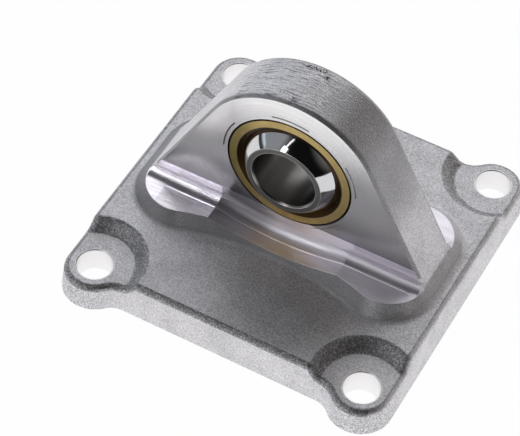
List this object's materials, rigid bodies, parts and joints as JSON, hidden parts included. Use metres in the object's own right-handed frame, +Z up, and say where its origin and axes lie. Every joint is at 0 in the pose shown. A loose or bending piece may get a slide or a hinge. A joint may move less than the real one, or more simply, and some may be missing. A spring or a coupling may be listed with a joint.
{
  "type": "swivel clevis mount",
  "caption": "Cast flange with an upright ear that holds a self-aligning spherical bearing, bolted to a pneumatic cylinder's rear cap as its swivelling clevis mount.",
  "frame": {"origin": "centre of the underside that seats on the cylinder's cap", "axes": "+Z up from the cap along the cylinder's axis, Y along the pin axis, X across the ear"},
  "size_m": [0.109, 0.109, 0.07],
  "materials": {
    "cast_aluminium": "fine cast skin, with milled ear faces, foot ledges and underside",
    "brass": "turned",
    "bearing_steel": "hardened and polished outside, satin end rings and bore"
  },
  "bodies": {
    "mount": {"flange_casting": "cast_aluminium", "bearing_race": "brass"},
    "ball": {"bearing_ball": "bearing_steel"}
  },
  "joints": [
    {"name": "ball_tilt", "type": "hinge", "parent": "mount", "child": "ball", "pos_m": [0, 0, 0.041], "axis": [1, 0, 0], "range_deg": [-14, 14]}
  ]
}
